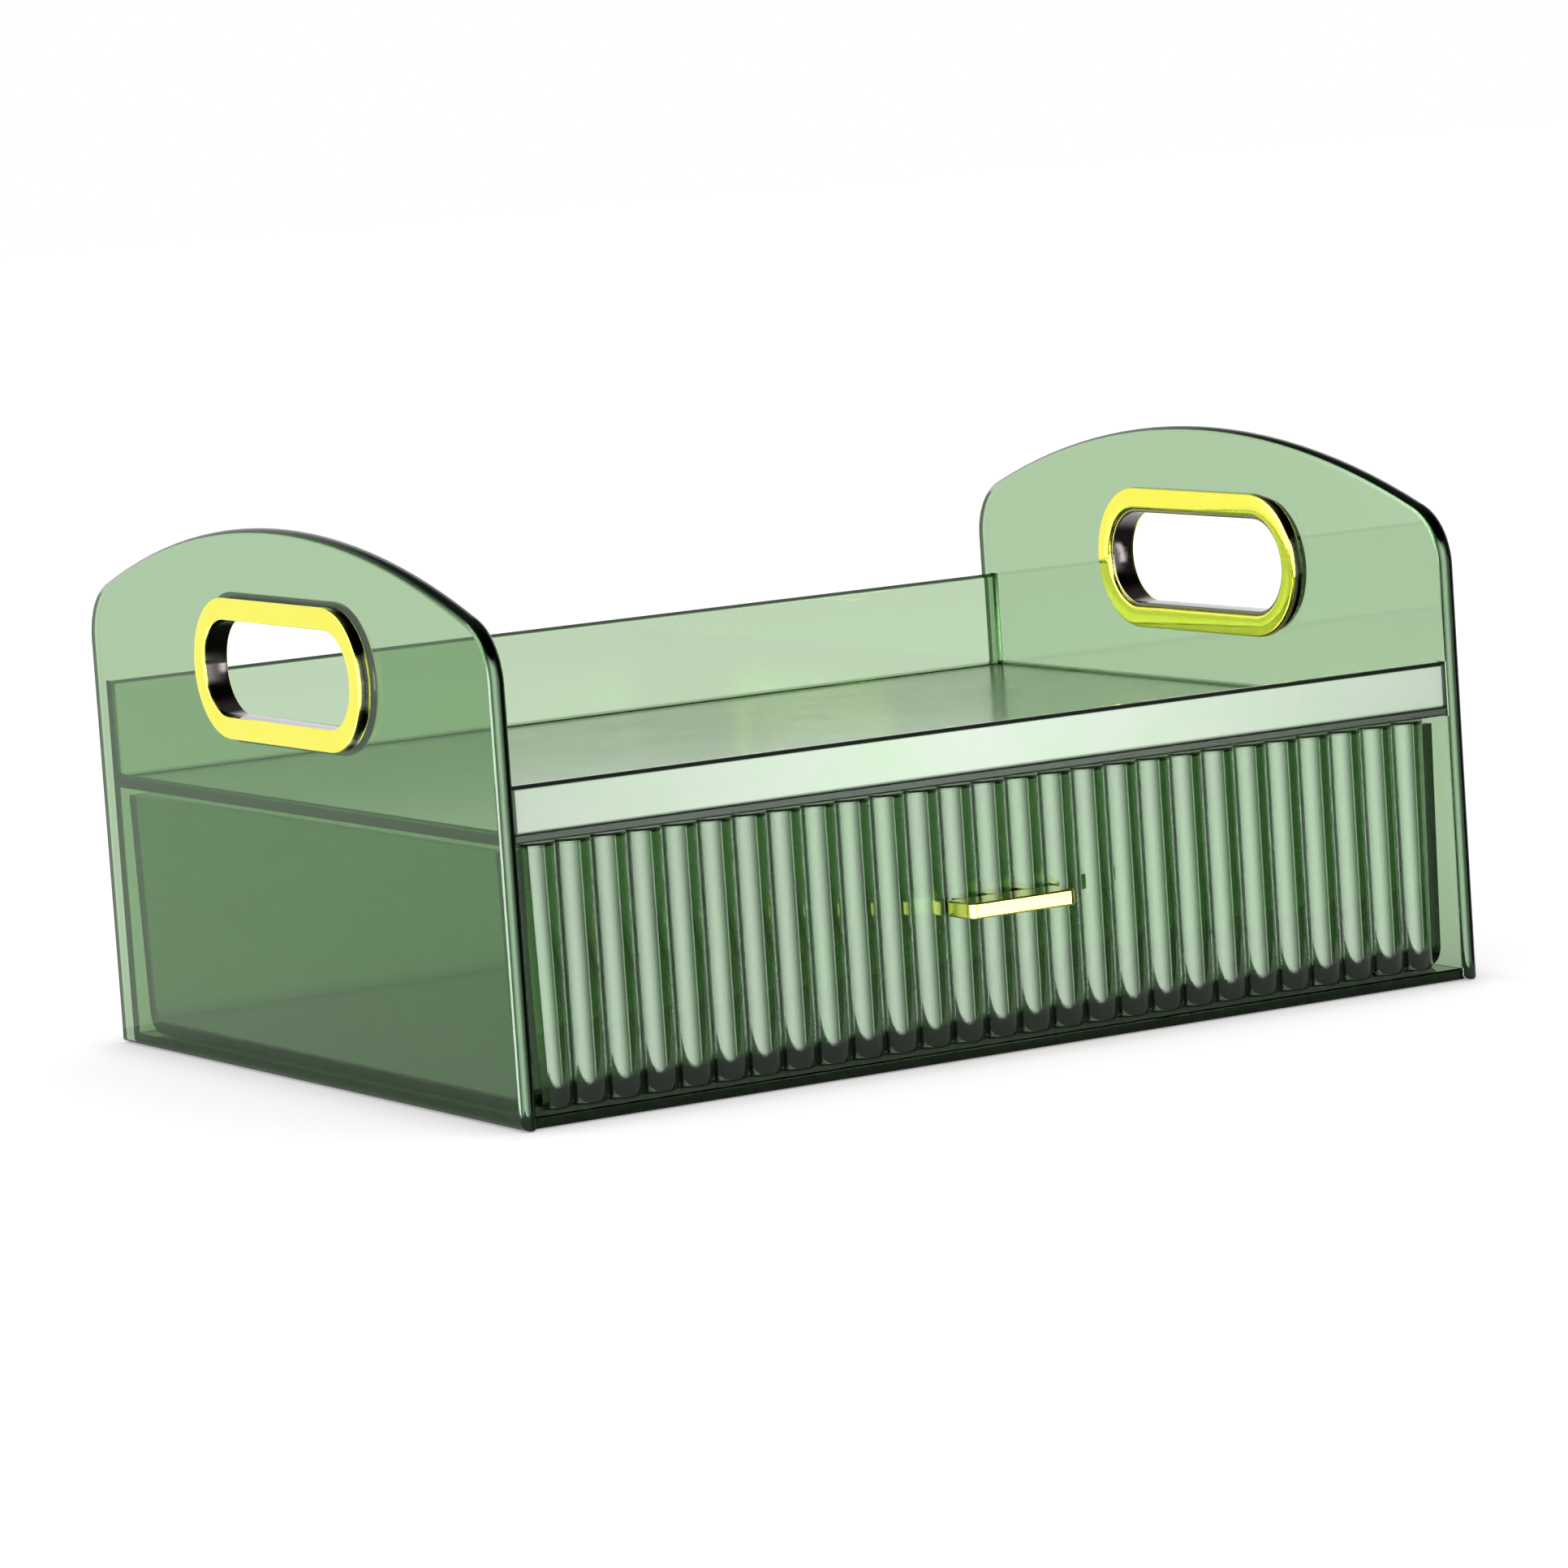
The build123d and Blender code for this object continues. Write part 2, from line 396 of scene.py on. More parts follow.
def front_painted_shade(rib_count, rib_depth):
    """Painted shade in the grooves between the ribs, and in bands along the foot and the top of the fluted front."""

    def lines(wire, x, y, z):
        foot = 1 - off_low(wire, z, front_low.z, FRONT_FOOT)
        top = near_high(wire, z, front_high.z, FRONT_TOP)
        station = (x - front_low.x) * (rib_count / (front_high.x - front_low.x))
        groove = ramp(wire, abs(station.maths("FRACT", station) - 0.5), *GROOVE_SHARES)
        outside = 1 - off_low(wire, y, front_low.y + rib_depth, GROOVE_FLOOR)
        return foot.most(top).most(groove * outside)

    return lines


def tub_ends_painted_shade(wire, x, y, z):
    """Painted shade on the front ends of the tub's sides, beside the fluted front."""
    return 1 - off_low(wire, y, tub_low.y, TUB_ENDS)


def trim_walls_painted_shade(wire, x, y, z):
    """Painted shade on the walls of the hand-hole trim, away from its outer and inner faces."""
    outer = near_high(wire, abs(x), bezel_high.x, TRIM_FACE)
    inner = 1 - off_low(wire, abs(x), ring_low.x, TRIM_FACE)
    return 1 - outer.most(inner)


def gilt(name, base, pale, haze, wall=None, shade=None):
    """Electroplated gilt: bright metal with faint cloudiness, orange peel and fine rubbing marks.

    shade tells how much of the plating at a place has the wall's colour, a painted shade that stands in for the dark
    surroundings which the trim's walls and sleeve reflect.
    """
    material, wire, shader = new_material(name)
    place = wire.node("ShaderNodeTexCoord", output="Object")
    cloud = noise(wire, place, scale=70.0, detail=3.0)
    peel = noise(wire, place, scale=650.0, detail=2.0)
    rub = noise(wire, place, scale=1.0, detail=3.0, stretch=(300.0, 80.0, 2600.0))
    marks = peaks(wire, rub, low=0.62, high=0.75)
    patchy = 0.6 + 0.8 * cloud
    tone = blend(wire, cloud, rgba(base), rgba(pale))
    # Painted shade: darker plating on the trim's walls and sleeve
    if shade:
        tone = blend(wire, shade(wire, *parts_of(wire, place)), tone, rgba(wall))
    feed(
        wire,
        shader,
        Base_Color=tone,
        Metallic=1.0,
        Roughness=haze * patchy + 0.06 * marks,
        Normal=relief(wire, peel + 0.4 * marks, strength=0.06, height=0.0002),
    )
    return material


def plated_steel(name, look):
    """Zinc-plated screw steel: bluish grey metal, blotchy and a little rough."""
    material, wire, shader = new_material(name)
    place = wire.node("ShaderNodeTexCoord", output="Object")
    blotch = noise(wire, place, scale=900.0, detail=3.0)
    dull = [0.8 * part for part in look.steel]
    feed(
        wire,
        shader,
        Base_Color=blend(wire, blotch, rgba(look.steel), rgba(dull)),
        Metallic=1.0,
        Roughness=0.22 + 0.18 * blotch,
        Normal=relief(wire, blotch, strength=0.1, height=0.0001),
    )
    return material


# Meshes


def node_tree(name, sizes):
    """A Geometry Nodes tree with named inputs. Returns the tree and a Wire for each input."""
    tree = bpy.data.node_groups.new(name, "GeometryNodeTree")
    for label, value in sizes.items():
        kind = "NodeSocketMaterial" if label == "Material" else "NodeSocketFloat"
        kind = "NodeSocketInt" if isinstance(value, int) else kind
        tree.interface.new_socket(name=label, in_out="INPUT", socket_type=kind)
    tree.interface.new_socket(name="Geometry", in_out="OUTPUT", socket_type="NodeSocketGeometry")
    inputs = tree.nodes.new("NodeGroupInput")
    return tree, {label: Wire(tree, inputs.outputs[label]) for label in sizes}


def close_tree(tree, geometry, material, crease=CREASE):
    """End a tree: sharp edges, real instances, material and output."""
    wire = Wire(tree)
    angle = wire.node("GeometryNodeInputMeshEdgeAngle")
    smooth = wire.node(
        "GeometryNodeSetShadeSmooth", {"domain": "FACE"}, {"Geometry": geometry, "Shade Smooth": True}
    )
    creased = wire.node(
        "GeometryNodeSetShadeSmooth",
        {"domain": "EDGE"},
        {"Geometry": smooth, "Selection": angle.maths("GREATER_THAN", angle, crease), "Shade Smooth": False},
    )
    real = wire.node("GeometryNodeRealizeInstances", None, {"Geometry": creased})
    dressed = wire.node("GeometryNodeSetMaterial", None, {"Geometry": real, "Material": material})
    output = tree.nodes.new("NodeGroupOutput")
    tree.links.new(dressed.socket, output.inputs["Geometry"])


def grown_piece(name, tree, sizes, place=Matrix.Identity(4)):
    """Evaluate a tree with these sizes and keep the result as a plain mesh object with its place in its mesh."""
    holder = bpy.data.objects.new(name + "_growth", bpy.data.meshes.new(name + "_seed"))
    bpy.context.scene.collection.objects.link(holder)
    modifier = holder.modifiers.new("growth", "NODES")
    modifier.node_group = tree
    for item in tree.interface.items_tree:
        if item.in_out == "INPUT":
            modifier[item.identifier] = sizes[item.name]
    bpy.context.view_layer.update()
    graph = bpy.context.evaluated_depsgraph_get()
    grown = holder.evaluated_get(graph)
    mesh = bpy.data.meshes.new_from_object(grown, preserve_all_data_layers=True, depsgraph=graph)
    bpy.data.objects.remove(holder)
    if not mesh.polygons:
        raise RuntimeError(f"{name} has no faces")
    mesh.transform(place)
    shell = bmesh.new()
    shell.from_mesh(mesh)
    bmesh.ops.recalc_face_normals(shell, faces=shell.faces[:])
    shell.to_mesh(mesh)
    shell.free()
    mesh.name = name
    piece = bpy.data.objects.new(name, mesh)
    bpy.context.scene.collection.objects.link(piece)
    return piece


def settle(piece, body, slot, *nodes):
    """Let a new piece ride on a body and stand for its CAD nodes. Its slot is not used."""
    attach(piece, body)
    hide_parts(*nodes)


def profile_curve(wire, corners, steps):
    """A closed outline through corners, each given as across, along and rounding radius."""
    count = len(corners)
    index = wire.node("GeometryNodeInputIndex")
    line = wire.node("GeometryNodeMeshLine", None, {"Count": count})
    places = {"Index": index}
    radii = {"Index": index}
    for number, (across, along, radius) in enumerate(corners):
        places[number + 1] = point(wire, across, along)
        radii[number + 1] = radius
    place = wire.node("GeometryNodeIndexSwitch", {"data_type": "VECTOR", "items": count}, places)
    radius = wire.node("GeometryNodeIndexSwitch", {"data_type": "FLOAT", "items": count}, radii)
    set_out = wire.node("GeometryNodeSetPosition", None, {"Geometry": line, "Position": place})
    curve = wire.node("GeometryNodeMeshToCurve", None, {"Mesh": set_out})
    closed = wire.node("GeometryNodeSetSplineCyclic", None, {"Geometry": curve, "Cyclic": True})
    return wire.node(
        "GeometryNodeFilletCurve",
        {"mode": "POLY"},
        {"Curve": closed, "Count": steps, "Radius": radius},
    )


def hand_hole_tree(name, sizes, corners_of):
    """A tree that sweeps a profile round the stadium outline of a hand hole."""
    tree, size = node_tree(name, sizes)
    wire = Wire(tree)
    index = wire.node("GeometryNodeInputIndex")
    steps = size["Arc Steps"]
    far = index.maths("GREATER_THAN", index, steps + 0.5)
    turn = (index - far * (steps + 1)) * (math.pi / steps) - math.pi / 2 + far * math.pi
    reach = (size["Opening Length"] - size["Opening Height"]) / 2
    radius = size["Opening Height"] / 2
    round_place = point(
        wire,
        reach * (1 - 2 * far) + radius * turn.maths("COSINE", turn),
        radius * turn.maths("SINE", turn),
    )
    line = wire.node("GeometryNodeMeshLine", None, {"Count": 2 * steps + 2})
    set_out = wire.node("GeometryNodeSetPosition", None, {"Geometry": line, "Position": round_place})
    curve = wire.node("GeometryNodeMeshToCurve", None, {"Mesh": set_out})
    path = wire.node("GeometryNodeSetSplineCyclic", None, {"Geometry": curve, "Cyclic": True})
    upright = wire.node("GeometryNodeSetCurveNormal", {"mode": "Z_UP"}, {"Curve": path})
    inward = [(across, -along, radius) for across, along, radius in corners_of(size)]
    profile = profile_curve(wire, inward, size["Edge Steps"])
    swept = wire.node("GeometryNodeCurveToMesh", None, {"Curve": upright, "Profile Curve": profile})
    close_tree(tree, swept, size["Material"], TRIM_CREASE)
    return tree


def bezel_corners(size):
    """The outer trim's section: a flange over the panel's face and a sleeve through the hole."""
    top = size["Seat"] + size["Thickness"]
    return [
        (0, -size["Inner End"], size["Edge Radius"]),
        (size["Wall"], -size["Inner End"], 0),
        (size["Wall"], size["Seat"], 0),
        (size["Wall"] + size["Flange"], size["Seat"], 0),
        (size["Wall"] + size["Flange"], top, size["Edge Radius"]),
        (0, top, size["Edge Radius"]),
    ]


def ring_corners(size):
    """The inner trim's section: a ring with a rounded face."""
    inner = size["Wall"] + size["Seat"]
    outer = size["Wall"] + size["Flange"]
    return [
        (inner, -size["Inner End"], size["Edge Radius"]),
        (outer, -size["Inner End"], size["Edge Radius"]),
        (outer, size["Thickness"] - size["Inner End"], 0),
        (inner, size["Thickness"] - size["Inner End"], 0),
    ]


def fluted_front_tree(sizes):
    """A tree that draws a rounded plate along the drawer's width and swells its front face into ribs."""
    tree, size = node_tree("fluted_front", sizes)
    wire = Wire(tree)
    ribs = size["Rib Count"]
    spans = ribs * size["Steps"]
    half_width = size["Half Width"]
    index = wire.node("GeometryNodeInputIndex")
    station = half_width * (2 * index / spans - 1)
    line = wire.node("GeometryNodeMeshLine", None, {"Count": spans + 1})
    set_out = wire.node("GeometryNodeSetPosition", None, {"Geometry": line, "Position": point(wire, station)})
    path = wire.node("GeometryNodeMeshToCurve", None, {"Mesh": set_out})
    upright = wire.node("GeometryNodeSetCurveNormal", {"mode": "Z_UP"}, {"Curve": path})
    thickness = size["Rear"] - size["Valley"]
    height = size["Top"] - size["Bottom"]
    section = profile_curve(
        wire,
        [
            (across * thickness / 2, up * height / 2, size["Edge Radius"])
            for across, up in ((-1, -1), (1, -1), (1, 1), (-1, 1))
        ],
        size["Edge Steps"],
    )
    plate = wire.node(
        "GeometryNodeCurveToMesh", None, {"Curve": upright, "Profile Curve": section, "Fill Caps": True}
    )
    x, y, z = parts_of(wire, wire.node("GeometryNodeInputPosition"))
    pitch = 2 * half_width / ribs
    offset = (x + half_width) / pitch
    from_middle = pitch * (offset - offset.maths("FLOOR", offset) - 0.5)
    half_pitch = pitch / 2
    bow = (half_pitch * half_pitch + size["Rib Depth"] * size["Rib Depth"]) / (2 * size["Rib Depth"])
    swell = (bow.maths("SQRT", bow * bow - from_middle * from_middle) - bow + size["Rib Depth"]).most(0)
    front_half = y.maths("LESS_THAN", y, 0)
    high = z / height + 0.5
    lean_share = (1 - (half_width - abs(x)) / pitch).most(0)
    lean = lean_share * size["Draft"] * (1 - high)
    shaped = wire.node(
        "GeometryNodeSetPosition",
        None,
        {
            "Geometry": plate,
            "Position": point(
                wire,
                x - x.maths("SIGN", x) * lean,
                y - swell * front_half + (size["Rear"] + size["Valley"]) / 2,
                z + (size["Top"] + size["Bottom"]) / 2,
            ),
        },
    )
    close_tree(tree, shaped, size["Material"])
    return tree


def screw_tree(sizes):
    """A tree of cross-recess screws in a row: domed heads, shanks and helical threads along local Z."""
    tree, size = node_tree("pull_screws", sizes)
    wire = Wire(tree)
    head_radius, head_height = size["Head Radius"], size["Head Height"]
    disc = wire.node(
        "GeometryNodeMeshCylinder",
        {"fill_type": "NGON"},
        {"Vertices": 40, "Side Segments": 8, "Fill Segments": 6, "Radius": head_radius, "Depth": head_height},
    )
    x, y, z = parts_of(wire, wire.node("GeometryNodeInputPosition"))
    spread = (x * x + y * y) / (head_radius * head_radius)
    high = z / head_height + 0.5
    draw_in = 1 - HEAD_TAPER_SHARE * high * high * high
    dome = (z + head_height / 2) * (1 - HEAD_DOME_SHARE * spread)
    head = wire.node(
        "GeometryNodeSetPosition", None, {"Geometry": disc, "Position": point(wire, x * draw_in, y * draw_in, dome)}
    )
    arms = [
        wire.node("GeometryNodeMeshCube", None, {"Size": point(wire, *arm, 2 * size["Recess Depth"])})
        for arm in ((size["Recess Length"], size["Recess Width"]), (size["Recess Width"], size["Recess Length"]))
    ]

    def moved(geometry, rise):
        """A copy of the geometry further along Z."""
        return wire.node("GeometryNodeTransform", None, {"Geometry": geometry, "Translation": point(wire, 0, 0, rise)})

    def joined(operation, sockets):
        """Exact union or difference of meshes."""
        return wire.node("GeometryNodeMeshBoolean", {"operation": operation, "solver": "EXACT"}, sockets)

    cut_head = joined("DIFFERENCE", {0: head, 1: moved(joined("UNION", {1: arms}), head_height)})
    radius, reach = size["Shank Radius"], size["Shank Length"]
    core_radius = CORE_SHARE * radius
    core = wire.node(
        "GeometryNodeMeshCylinder", {"fill_type": "NGON"}, {"Vertices": 24, "Radius": core_radius, "Depth": reach}
    )
    shank = moved(core, -0.5 * reach)
    helix = wire.node(
        "GeometryNodeCurveSpiral",
        None,
        {
            "Resolution": 20,
            "Rotations": THREAD_SHARE * reach / size["Thread Pitch"],
            "Start Radius": core_radius,
            "End Radius": core_radius,
            "Height": THREAD_SHARE * reach,
        },
    )
    ridge = wire.node(
        "GeometryNodeCurvePrimitiveCircle", {"mode": "RADIUS"}, {"Resolution": 4, "Radius": RIDGE_SHARE * radius}
    )
    swept = wire.node("GeometryNodeCurveToMesh", None, {"Curve": helix, "Profile Curve": ridge, "Fill Caps": True})
    thread = moved(swept, -THREAD_START_SHARE * reach)
    whole = wire.node("GeometryNodeJoinGeometry", None, {"Geometry": [cut_head, shank, thread]})
    row = wire.node(
        "GeometryNodeMeshLine",
        None,
        {"Count": 2, "Start Location": point(wire, -0.5 * size["Spacing"]), "Offset": point(wire, size["Spacing"])},
    )
    screws = wire.node("GeometryNodeInstanceOnPoints", None, {"Points": row, "Instance": whole})
    close_tree(tree, screws, size["Material"])
    return tree


def bond_tree(sizes):
    """A tree of a thin bead of cement along local X, in the corner between local Y and Z."""
    tree, size = node_tree("bond_bead", sizes)
    wire = Wire(tree)
    path = wire.node("GeometryNodeCurvePrimitiveLine", None, {"End": point(wire, size["Length"])})
    fine = wire.node("GeometryNodeResampleCurve", {"mode": "COUNT"}, {"Curve": path, "Count": size["Steps"]})
    upright = wire.node("GeometryNodeSetCurveNormal", {"mode": "Z_UP"}, {"Curve": fine})
    leg = size["Leg"]
    hollow = -HOLLOW_SHARE * leg
    corners = [(0, 0, 0), (-leg, 0, 0), (hollow, hollow, HOLLOW_ROUND_SHARE * leg), (0, -leg, 0)]
    section = profile_curve(wire, corners, BOND_EDGE_STEPS)
    bead = wire.node("GeometryNodeCurveToMesh", None, {"Curve": upright, "Profile Curve": section, "Fill Caps": True})
    close_tree(tree, bead, size["Material"])
    return tree


# Settings


class PlasticSettings(bpy.types.PropertyGroup):
    """Clear green plastic of the case and the drawer."""

    body_tint: colour("Body Tint", "Colour that a thick piece goes to", (0.248, 0.508, 0.16))
    surface_tint: colour("Surface Tint", "Faint tint of the surface itself", (0.97, 0.985, 0.97))
    density: amount("Density", "How fast the plastic darkens with thickness, per metre", 250.0)
    refraction: amount("Refraction", "Index of refraction", 1.49)
    haze: share("Haze", "Roughness of the polished faces", 0.015)
    coat_haze: share("Coat Haze", "Roughness of the coat", 0.02)
    tray_haze: share("Tray Haze", "Roughness of the tray's floor", 0.2)
    gleam: colour("Gleam", "Tint of the plastic's own reflections", (0.66, 1.0, 0.62))
    panel_gleam: colour("Panel Gleam", "Tint of the end panels' reflections", (0.45, 1.0, 0.4))
    # Colour of the painted shade: dark lines painted in grooves and along rounded edges, standing in for the dark
    # refraction there
    shade: colour("Shade", "Dark lines in grooves and rounded edges", (0.015, 0.02, 0.015))
    polish: share("Polish", "Coat on the drawer's front, the tray, the rail and the panels' front edges", 1.0)
    rail_milk: share("Rail Milkiness", "How milky the front rail is", 0.75)
    rail_tint: colour("Rail Tint", "Pale green of the milky rail", (0.7, 1.0, 0.64))
    drawer_depth: amount("Drawer Depth", "Depth of the drawer's tint against the case", 1.25)
    tray_depth: amount("Tray Depth", "Depth of the tray floor's tint against the case", 0.55)
    back_depth: amount("Back Depth", "Depth of the back wall's tint against the case", 1.3)
    ripple: share("Ripple", "Strength of the sheet's faint ripple", 0.06)
    bond_leg: length("Bond Leg", "How far a bead of cement spreads from its corner", 0.0011)
    bond_gap: length("Bond Gap", "Air between a bead and the plates", 0.00005)


class GiltSettings(bpy.types.PropertyGroup):
    """Gilt trim of the hand holes and the pull."""

    trim: colour("Trim", "Plated trim of the hand holes", (0.95, 0.91, 0.07))
    trim_pale: colour("Trim Pale", "Paler clouds in the trim's plating", (1.0, 0.95, 0.14))
    # Colour of the painted shade on the trim's walls and sleeve: dark plating that stands in for the dark surroundings
    # these walls reflect
    wall: colour("Wall", "Dark walls of the trim", (0.15, 0.135, 0.13))
    pull: colour("Pull", "Polished pull handle", (0.92, 0.87, 0.17))
    pull_pale: colour("Pull Pale", "Paler clouds in the pull's polish", (0.96, 0.92, 0.23))
    steel: colour("Steel", "Zinc-plated screws", (0.6, 0.61, 0.63))
    trim_haze: share("Trim Haze", "Roughness of the trim's plating", 0.06)
    pull_haze: share("Pull Haze", "Roughness of the pull's polish", 0.05)
    sleeve_wall: length("Sleeve Wall", "Thickness of the sleeve through a hand hole", 0.001)
    trim_seat: length("Trim Seat", "Air between the trim and the panel", 0.0001)
    bezel_flange: length("Bezel Flange", "Width of the outer trim's flange past the sleeve", 0.0052)
    bezel_edge: length("Bezel Edge", "Rounding of the outer trim's edges", 0.0004)
    ring_edge: length("Ring Edge", "Rounding of the inner ring's edges", 0.0008)
    head_height: length("Head Height", "Height of a screw's head", 0.0017)
    shank_radius: length("Shank Radius", "Outer radius of a screw's thread", 0.00125)
    thread_pitch: length("Thread Pitch", "Rise of a screw's thread in one turn", 0.0008)
    arc_steps: number("Arc Steps", "Faces round each end of a hand hole", 48, 8)


class FlutedFrontSettings(bpy.types.PropertyGroup):
    """Fluted front of the drawer."""

    rib_count: number("Rib Count", "Ribs across the front", 27, 1)
    rib_depth: length("Rib Depth", "How far a rib stands out", 0.003)
    draft: length("Draft", "How much each end leans in at the bottom", 0.0014)
    edge_radius: length("Edge Radius", "Rounding of the long edges", 0.0008)
    rib_steps: number("Rib Steps", "Faces across each rib", 16, 4)


class StageSettings(bpy.types.PropertyGroup):
    """Camera, floor and light."""

    azimuth: angle("Azimuth", "Camera's turn round the box", -30.179)
    elevation: angle("Elevation", "Camera's height angle", 6.694)
    roll: angle("Roll", "Camera's roll", -3.924)
    lens: amount("Lens", "Focal length in millimetres", 163.083)
    distance: length("Distance", "From the camera to its target", 2.01788)
    target: FloatVectorProperty(
        name="Target",
        description="Point that the camera looks at",
        default=(0.00288, 0, 0.06469),
        subtype="XYZ",
        unit="LENGTH",
    )
    floor: colour("Floor", "Colour of the floor", (0.65, 0.65, 0.65))
    floor_glow: share("Floor Glow", "White added to the floor where it is seen", 0.52)
    floor_drop: length("Floor Drop", "Air between the box and the floor", 0.0003)
    floor_reach: length("Floor Reach", "Half of the floor's width", 6.0)


class StorageBoxSettings(bpy.types.PropertyGroup):
    """Everything that a user would change."""

    plastic: PointerProperty(type=PlasticSettings)
    gilding: PointerProperty(type=GiltSettings)
    fluted_front: PointerProperty(type=FlutedFrontSettings)
    stage: PointerProperty(type=StageSettings)


# Operators


def dress(node, material):
    """Give a CAD node its finished material."""
    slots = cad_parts[node].material_slots
    if not slots:
        raise RuntimeError(f"{node} has no material slot")
    for one in slots:
        one.material = material


class STORAGE_BOX_OT_clear_case(bpy.types.Operator):
    """Dress the end panels and the plates between them in clear plastic"""

    bl_idname = "storage_box.clear_case"
    bl_label = "Clear Case"

    def execute(self, context):
        look = context.scene.storage_box.plastic
        # The end panels get painted shade on their rims, standing in for the dark refraction at their rounded edges
        panel = clear_plastic(
            "clear_panel_plastic", look, polish=bright_front_edge, shade=panel_rim_painted_shade, gleam=look.panel_gleam
        )
        for side in SIDES:
            dress(f"{side}_end_panel", panel)
        dress("base_plate", clear_plastic("clear_plate_plastic", look))
        tray = clear_plastic(
            "clear_tray_plastic", look, look.tray_depth, polish=bright_all_over, blur=look.tray_haze
        )
        dress("tray_floor", tray)
        # The back wall and the rail get painted shade along their rounded tops and at their bonded ends
        dress("back_wall", clear_plastic("clear_back_plastic", look, look.back_depth, shade=wall_rim_painted_shade))
        rail = clear_plastic(
            "milky_rail_plastic", look, 1.0, look.rail_tint, look.rail_milk, bright_all_over, rail_painted_shade
        )
        dress("front_rail", rail)
        return {"FINISHED"}


class STORAGE_BOX_OT_hand_hole_trim(bpy.types.Operator):
    """Build the gilt bezel and ring of each hand hole"""

    bl_idname = "storage_box.hand_hole_trim"
    bl_label = "Hand-hole Trim"

    def execute(self, context):
        look = context.scene.storage_box.gilding
        # The trim's walls and sleeve get painted shade, away from its outer and inner faces
        material = gilt("plated_gilt", look.trim, look.trim_pale, look.trim_haze, look.wall, trim_walls_painted_shade)
        wall, seat, flange = look.sleeve_wall, look.trim_seat, look.bezel_flange
        opening_length = bezel_high.y - bezel_low.y - 2 * (wall + flange)
        opening_height = bezel_high.z - bezel_low.z - 2 * (wall + flange)
        shared = {
            "Opening Length": opening_length,
            "Opening Height": opening_height,
            "Wall": wall,
            "Seat": seat,
            "Arc Steps": look.arc_steps,
            "Edge Steps": TRIM_EDGE_STEPS,
            "Material": material,
        }
        bezel = dict(
            shared,
            **{
                "Flange": flange,
                "Thickness": bezel_high.x - panel_high.x - seat,
                "Inner End": panel_high.x - bezel_low.x,
                "Edge Radius": look.bezel_edge,
            },
        )
        ring = dict(
            shared,
            **{
                "Flange": (ring_high.y - ring_low.y - opening_length) / 2 - wall,
                "Thickness": ring_high.x - ring_low.x,
                "Inner End": panel_high.x - ring_low.x,
                "Edge Radius": look.ring_edge,
            },
        )
        bezel_tree = hand_hole_tree("hand_hole_bezel", bezel, bezel_corners)
        ring_tree = hand_hole_tree("hand_hole_ring", ring, ring_corners)
        level = (bezel_low.z + bezel_high.z) / 2
        for name, side in SIDES.items():
            turn = Euler((math.pi / 2, 0, side * math.pi / 2)).to_matrix().to_4x4()
            place = Matrix.Translation((side * panel_high.x, 0, level)) @ turn
            for part, tree, sizes in (("bezel", bezel_tree, bezel), ("ring", ring_tree, ring)):
                piece = grown_piece(f"{name}_gilt_{part}", tree, sizes, place)
                settle(piece, "case", "gilt_trim", f"{name}_handle_{part}")
        return {"FINISHED"}


class STORAGE_BOX_OT_fluted_front(bpy.types.Operator):
    """Build the drawer's fluted front"""

    bl_idname = "storage_box.fluted_front"
    bl_label = "Fluted Front"

    def execute(self, context):
        look = context.scene.storage_box.fluted_front
        plastic = context.scene.storage_box.plastic
        # Painted shade in the grooves and along the foot and the top of the fluted front
        lines = front_painted_shade(look.rib_count, look.rib_depth)
        material = clear_plastic(
            "clear_drawer_front", plastic, plastic.drawer_depth, polish=bright_all_over, shade=lines
        )
        sizes = {
            "Rib Count": look.rib_count,
            "Steps": look.rib_steps,
            "Rib Depth": look.rib_depth,
            "Draft": look.draft,
            "Half Width": front_high.x,
            "Valley": front_low.y + look.rib_depth,
            "Rear": front_high.y,
            "Bottom": front_low.z,
            "Top": front_high.z,
            "Edge Radius": look.edge_radius,
            "Edge Steps": FRONT_EDGE_STEPS,
            "Material": material,
        }
        piece = grown_piece("fluted_drawer_front", fluted_front_tree(sizes), sizes)
        settle(piece, "drawer", "drawer_plastic", "drawer_front")
        return {"FINISHED"}


class STORAGE_BOX_OT_drawer_tub(bpy.types.Operator):
    """Dress the drawer's tub in clear plastic"""

    bl_idname = "storage_box.drawer_tub"
    bl_label = "Drawer Tub"

    def execute(self, context):
        look = context.scene.storage_box.plastic
        # Painted shade on the front ends of the tub's sides
        dress("drawer_tub", clear_plastic("clear_drawer_tub", look, look.drawer_depth, shade=tub_ends_painted_shade))
        return {"FINISHED"}


class STORAGE_BOX_OT_bond_beads(bpy.types.Operator):
    """Lay the beads of cement along the tray's inner corners"""

    bl_idname = "storage_box.bond_beads"
    bl_label = "Bond Beads"

    def execute(self, context):
        look = context.scene.storage_box.plastic
        material = clear_plastic("bond_cement", look, CEMENT_DEPTH)
        level = tray_high.z + look.bond_gap
        front = rail_high.y
        back = wall_low.y - look.bond_gap
        side = panel_low.x - look.bond_gap
        seams = {
            "floor_back_bond": ((-side, back, level), (1, 0, 0), (0, -1, 0), 2 * side),
            "left_floor_bond": ((-side, front, level), (0, 1, 0), (1, 0, 0), back - front),
            "right_floor_bond": ((side, front, level), (0, 1, 0), (-1, 0, 0), back - front),
            "left_back_bond": ((-side, back, level), (0, 0, 1), (1, 0, 0), wall_high.z - level),
            "right_back_bond": ((side, back, level), (0, 0, 1), (-1, 0, 0), wall_high.z - level),
        }
        for name, (start, run, across, reach) in seams.items():
            sizes = {"Length": reach, "Leg": look.bond_leg, "Steps": BOND_STEPS, "Material": material}
            rise = (0, -1, 0) if run[2] else (0, 0, 1)
            place = Matrix((run, across, rise)).transposed().to_4x4()
            piece = grown_piece(name, bond_tree(sizes), sizes, Matrix.Translation(start) @ place)
            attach(piece, "case")
        return {"FINISHED"}


